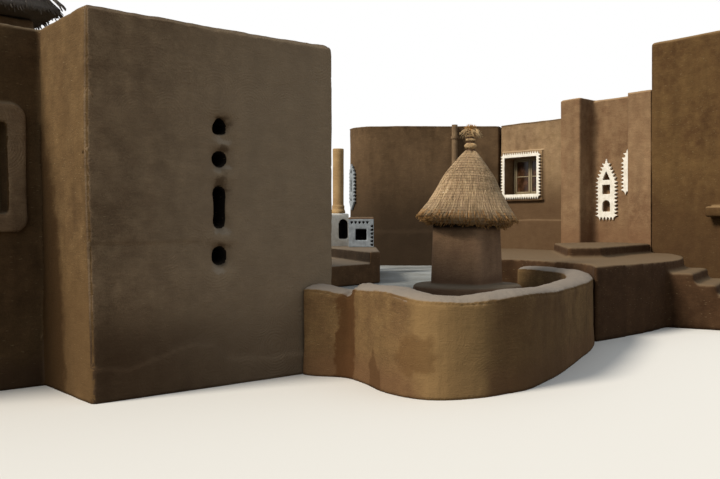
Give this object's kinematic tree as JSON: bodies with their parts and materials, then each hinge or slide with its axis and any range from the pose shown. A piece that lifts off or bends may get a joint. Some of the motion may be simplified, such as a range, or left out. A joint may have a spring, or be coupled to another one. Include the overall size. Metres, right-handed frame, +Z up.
{
  "type": "adobe courtyard house",
  "caption": "Mud-plastered courtyard house with a peepholed front block, thatched hut, low curved court wall, thatched granary and white toothed reliefs.",
  "frame": {"origin": "on the ground under the middle of the wall at the front block's near left corner", "axes": "+X along the front wall to the right, +Y into the compound, +Z up"},
  "size_m": [18.61, 12.4537, 6.46],
  "materials": {
    "mud_plaster": "matt hand-smeared mud plaster with straw flecks",
    "mud_roof": "matt trodden mud roof",
    "court_earth": "matt dung-washed earth floor",
    "whitewash": "matt lime wash over modelled mud",
    "straw_thatch": "dry straw thatch",
    "grey_thatch": "weathered grey thatch",
    "timber": "weathered bare timber",
    "fired_clay": "unglazed fired clay"
  },
  "bodies": {
    "root": {"front_wall": "mud_plaster", "left_return": "mud_plaster", "left_wing_wall": "mud_plaster", "left_window_border": "mud_plaster", "left_window": "timber", "left_outer_wall": "mud_plaster", "court_side_wall": "mud_plaster", "left_rear_wall": "mud_plaster", "left_roof": "mud_roof", "hut_front_wall": "mud_plaster", "hut_right_wall": "mud_plaster", "hut_thatch": "grey_thatch", "low_wall_stub": "mud_plaster", "low_wall_bend": "mud_plaster", "low_wall_front": "mud_plaster", "low_wall_end": "mud_plaster", "court_floor": "court_earth", "granary_plinth": "mud_plaster", "granary_body": "mud_plaster", "granary_thatch": "straw_thatch", "granary_knot": "straw_thatch", "mud_bench": "mud_plaster", "niche_block": "whitewash", "dado_wall": "whitewash", "gate_pier": "mud_plaster", "back_wall": "mud_plaster", "back_corner": "mud_plaster", "back_left_wall": "mud_plaster", "rear_wall": "mud_plaster", "right_roofs": "mud_roof", "downpipe": "fired_clay", "window_wall": "mud_plaster", "window_border": "whitewash", "court_window": "timber", "pilaster": "mud_plaster", "relief_wall": "mud_plaster", "relief_pier": "mud_plaster", "relief_panels": "whitewash", "tall_court_wall": "mud_plaster", "tall_front_wall": "mud_plaster", "right_outer_wall": "mud_plaster", "tall_cross_wall": "mud_plaster", "platform": "court_earth", "platform_bench": "court_earth", "entrance_steps": "court_earth"}
  },
  "joints": []
}
